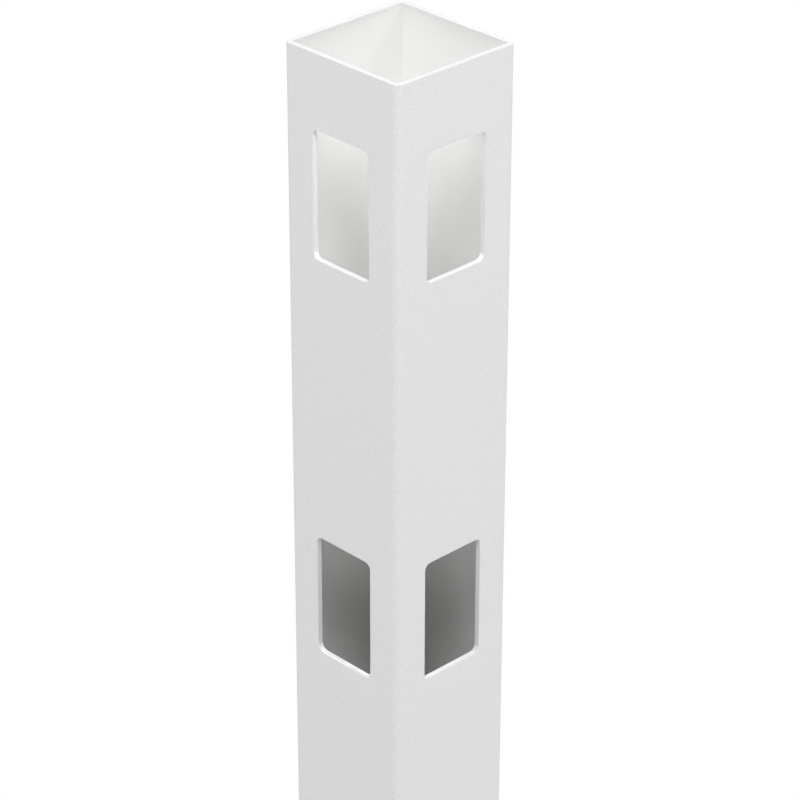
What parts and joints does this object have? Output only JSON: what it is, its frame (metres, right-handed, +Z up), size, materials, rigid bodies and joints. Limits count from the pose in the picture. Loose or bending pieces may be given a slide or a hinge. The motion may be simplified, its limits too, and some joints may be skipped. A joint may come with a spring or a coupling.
{
  "type": "corner fence post",
  "caption": "Square hollow vinyl fence post, open at both ends, with columns of round-cornered rail pockets routed through adjoining walls, so that fence runs meet in it at a corner.",
  "frame": {"origin": "centre of the foot, on the plane of the lower sawn end", "axes": "+Z up the post, -Y out of the front column of rail pockets, +X out of the side column"},
  "size_m": [0.1016, 0.1016, 1.8288],
  "materials": {
    "white_vinyl": "satin"
  },
  "bodies": {
    "root": {"post": "white_vinyl"}
  },
  "joints": []
}
